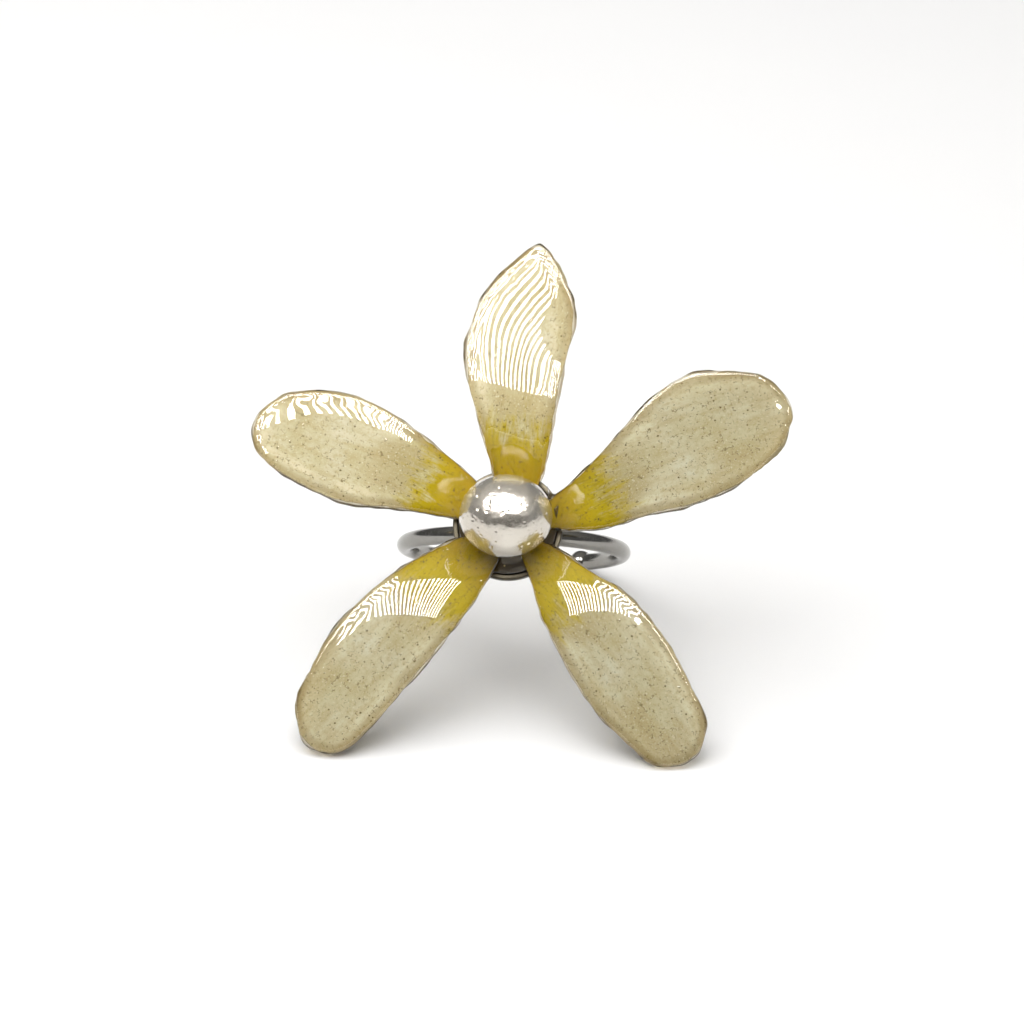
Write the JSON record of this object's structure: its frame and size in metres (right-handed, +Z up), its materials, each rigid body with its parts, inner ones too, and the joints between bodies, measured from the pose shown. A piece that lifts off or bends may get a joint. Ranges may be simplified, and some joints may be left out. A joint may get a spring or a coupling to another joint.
{
  "type": "frangipani flower ring",
  "caption": "Finger ring with a frangipani flower of resin-coated dried petals round a pearl, in a steel tray on an open wire band with ball ends.",
  "frame": {"origin": "centre of the bottom of the ring's bounding box, on the surface that the ring stands on", "axes": "+X to the right across the flower as seen from the front, +Y from the flower back through the band, +Z up"},
  "size_m": [0.0488, 0.0334, 0.0365],
  "materials": {
    "petal": "dried petal, cream green with fine veins and specks, deep yellow at its base",
    "resin": "clear resin with a high gloss, amber where it is thick at the rim",
    "resin_bed": "dark olive brown resin with a high gloss and small bubbles",
    "pearl": "white pearl, slightly baroque, with a satin lustre",
    "steel": "polished stainless steel"
  },
  "bodies": {
    "root": {"petal_top": "petal", "petal_upper_right": "petal", "petal_lower_right": "petal", "petal_lower_left": "petal", "petal_upper_left": "petal", "resin_coat_top": "resin", "resin_coat_upper_right": "resin", "resin_coat_lower_right": "resin", "resin_coat_lower_left": "resin", "resin_coat_upper_left": "resin", "resin_bed": "resin_bed", "pearl": "pearl", "ring_tray": "steel", "ring_band": "steel"}
  },
  "joints": []
}
